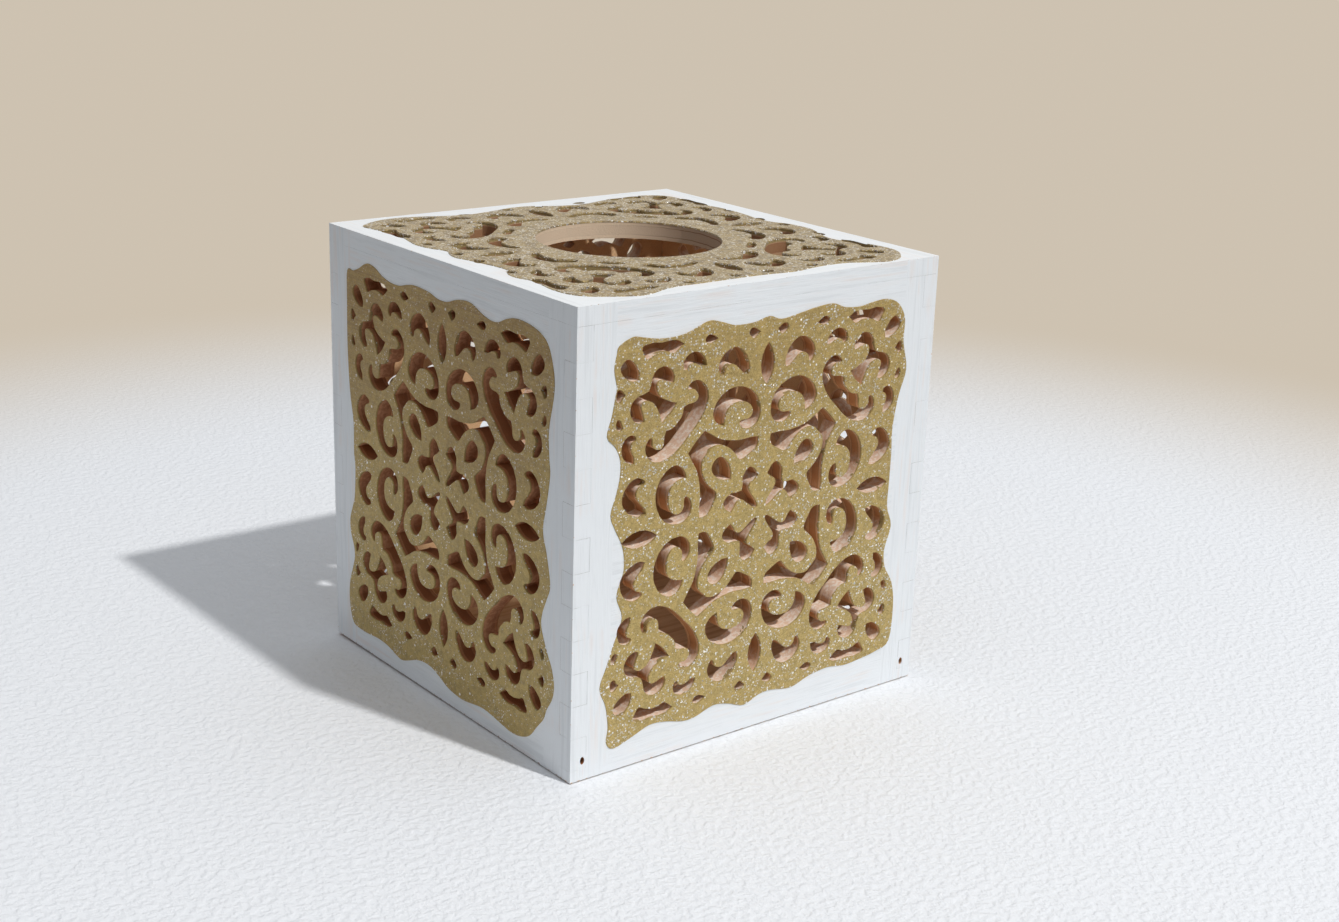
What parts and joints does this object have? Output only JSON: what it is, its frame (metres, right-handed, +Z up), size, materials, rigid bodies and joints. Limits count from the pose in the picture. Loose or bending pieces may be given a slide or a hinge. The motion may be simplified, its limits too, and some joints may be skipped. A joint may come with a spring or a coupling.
{
  "type": "wedding card box",
  "caption": "Cube-shaped plywood card box with scroll fretwork in its walls and top, a round mouth in the top and a bottom that slides out at the back.",
  "frame": {"origin": "centre of the footprint, at the height of the table", "axes": "+Z up through the round mouth, -Y out of the front wall, +Y the way the bottom slides out, +X to the right seen from the front"},
  "size_m": [0.135, 0.135, 0.139],
  "materials": {
    "white_ply": "plywood under brushed white paint, with gold glitter paint over the fretwork, cut edges bare",
    "bare_ply": "bare plywood",
    "gold_glitter": "gold glitter paint film"
  },
  "bodies": {
    "box": {"front_wall": "white_ply", "back_wall": "white_ply", "left_wall": "white_ply", "right_wall": "white_ply", "top_panel": "white_ply"},
    "bottom": {"bottom_panel": "bare_ply"}
  },
  "joints": [
    {"name": "bottom_slide", "type": "slide", "parent": "box", "child": "bottom", "axis": [0, 1, 0], "range_m": [0, 0.14]}
  ]
}
